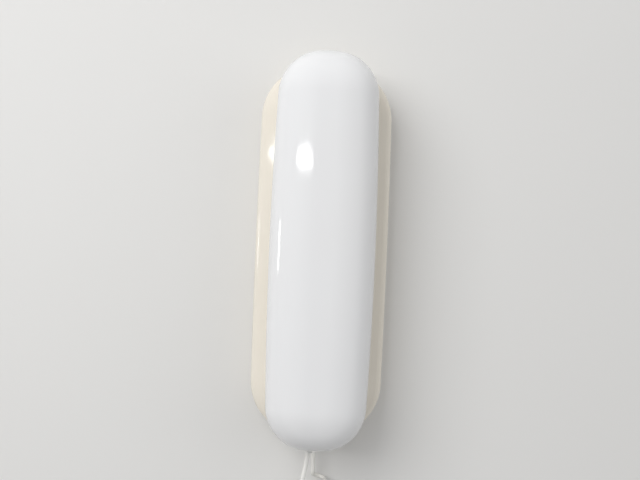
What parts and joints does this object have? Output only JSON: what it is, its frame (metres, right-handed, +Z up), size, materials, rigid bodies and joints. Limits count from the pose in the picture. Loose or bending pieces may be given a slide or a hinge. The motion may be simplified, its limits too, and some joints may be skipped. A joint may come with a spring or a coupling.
{
  "type": "wall telephone",
  "caption": "Slim wall telephone: a domed handset with keys on its inner face hangs on a slanted tab of a narrow base, with hook plunger, ringer slide and curly cord.",
  "frame": {"origin": "middle of the back plate's flat face, where the telephone meets the wall", "axes": "+X to the right as the user faces it, +Y into the wall, +Z up"},
  "size_m": [0.0756, 0.06, 0.3587],
  "materials": {
    "handset_white": "glossy moulded white",
    "base_ivory": "glossy moulded ivory",
    "plate_ivory": "matt moulded ivory",
    "key_white": "smooth white keys with dark numbers",
    "knob_ivory": "smooth moulded ivory",
    "cord_white": "glossy soft vinyl",
    "plug_plastic": "clear-looking plug plastic",
    "screw_steel": "bright zinc plate",
    "weight_steel": "dull plated steel",
    "board_green": "green solder mask",
    "black_plastic": "matt black",
    "speaker_black": "matt black paper and frame",
    "core_iron": "varnished laminations",
    "coil_copper": "enamelled copper wire",
    "capacitor_can": "drawn aluminium",
    "terminal_brass": "bright brass",
    "soft_rubber": "soft matt rubber"
  },
  "bodies": {
    "base": {"back_plate": "plate_ivory", "base_cover": "base_ivory", "cover_screws": "screw_steel", "hanger_tab": "base_ivory", "main_board": "board_green", "board_screws": "screw_steel", "hook_switch": "black_plastic", "hook_spring": "terminal_brass", "ringer_speaker": "speaker_black", "ringer_switch_body": "black_plastic", "transformer_core": "core_iron", "transformer_coil": "coil_copper", "board_capacitors": "capacitor_can", "terminal_block": "black_plastic", "terminal_screws": "terminal_brass", "base_cord_jack": "black_plastic", "base_cord_plug": "plug_plastic", "cord_base_tail": "cord_white", "cord_coil": "cord_white"},
    "handset": {"handset_outer_shell": "handset_white", "handset_inner_shell": "handset_white", "handset_screws": "screw_steel", "receiver_capsule": "capacitor_can", "receiver_gasket": "soft_rubber", "receiver_retainer": "black_plastic", "transmitter_capsule": "capacitor_can", "transmitter_boot": "soft_rubber", "ballast_weight": "weight_steel", "keypad_board": "board_green", "keypad_screws": "screw_steel", "keypad_mat": "soft_rubber", "handset_cord_jack": "black_plastic", "handset_cord_plug": "plug_plastic", "cord_handset_tail": "cord_white"},
    "hook_plunger": {"hook_plunger": "knob_ivory"},
    "ringer_switch_knob": {"ringer_switch_knob": "knob_ivory"},
    "key_1": {"key_1": "key_white"},
    "key_2": {"key_2": "key_white"},
    "key_3": {"key_3": "key_white"},
    "key_4": {"key_4": "key_white"},
    "key_5": {"key_5": "key_white"},
    "key_6": {"key_6": "key_white"},
    "key_7": {"key_7": "key_white"},
    "key_8": {"key_8": "key_white"},
    "key_9": {"key_9": "key_white"},
    "key_star": {"key_star": "key_white"},
    "key_0": {"key_0": "key_white"},
    "key_hash": {"key_hash": "key_white"}
  },
  "joints": [
    {"name": "handset_lift", "type": "slide", "parent": "base", "child": "handset", "axis": [0, -0.9063, 0.4226], "range_m": [0, 0.08]},
    {"name": "hook_travel", "type": "slide", "parent": "base", "child": "hook_plunger", "axis": [0, -1, 0], "range_m": [0, 0.0035], "stiffness_N_per_m": 60, "springref_m": 0.006, "deforming": ["hook_spring"]},
    {"name": "ringer_slide", "type": "slide", "parent": "base", "child": "ringer_switch_knob", "axis": [1, 0, 0], "range_m": [-0.003, 0.003]},
    {"name": "key_1_press", "type": "slide", "parent": "handset", "child": "key_1", "axis": [0, -1, 0], "range_m": [0, 0.0012], "stiffness_N_per_m": 400, "deforming": ["keypad_mat"]},
    {"name": "key_2_press", "type": "slide", "parent": "handset", "child": "key_2", "axis": [0, -1, 0], "range_m": [0, 0.0012], "stiffness_N_per_m": 400, "deforming": ["keypad_mat"]},
    {"name": "key_3_press", "type": "slide", "parent": "handset", "child": "key_3", "axis": [0, -1, 0], "range_m": [0, 0.0012], "stiffness_N_per_m": 400, "deforming": ["keypad_mat"]},
    {"name": "key_4_press", "type": "slide", "parent": "handset", "child": "key_4", "axis": [0, -1, 0], "range_m": [0, 0.0012], "stiffness_N_per_m": 400, "deforming": ["keypad_mat"]},
    {"name": "key_5_press", "type": "slide", "parent": "handset", "child": "key_5", "axis": [0, -1, 0], "range_m": [0, 0.0012], "stiffness_N_per_m": 400, "deforming": ["keypad_mat"]},
    {"name": "key_6_press", "type": "slide", "parent": "handset", "child": "key_6", "axis": [0, -1, 0], "range_m": [0, 0.0012], "stiffness_N_per_m": 400, "deforming": ["keypad_mat"]},
    {"name": "key_7_press", "type": "slide", "parent": "handset", "child": "key_7", "axis": [0, -1, 0], "range_m": [0, 0.0012], "stiffness_N_per_m": 400, "deforming": ["keypad_mat"]},
    {"name": "key_8_press", "type": "slide", "parent": "handset", "child": "key_8", "axis": [0, -1, 0], "range_m": [0, 0.0012], "stiffness_N_per_m": 400, "deforming": ["keypad_mat"]},
    {"name": "key_9_press", "type": "slide", "parent": "handset", "child": "key_9", "axis": [0, -1, 0], "range_m": [0, 0.0012], "stiffness_N_per_m": 400, "deforming": ["keypad_mat"]},
    {"name": "key_star_press", "type": "slide", "parent": "handset", "child": "key_star", "axis": [0, -1, 0], "range_m": [0, 0.0012], "stiffness_N_per_m": 400, "deforming": ["keypad_mat"]},
    {"name": "key_0_press", "type": "slide", "parent": "handset", "child": "key_0", "axis": [0, -1, 0], "range_m": [0, 0.0012], "stiffness_N_per_m": 400, "deforming": ["keypad_mat"]},
    {"name": "key_hash_press", "type": "slide", "parent": "handset", "child": "key_hash", "axis": [0, -1, 0], "range_m": [0, 0.0012], "stiffness_N_per_m": 400, "deforming": ["keypad_mat"]}
  ],
  "couplings": [
    {"joint": "hook_travel", "follows": "handset_lift", "ratio": 0.04375}
  ]
}
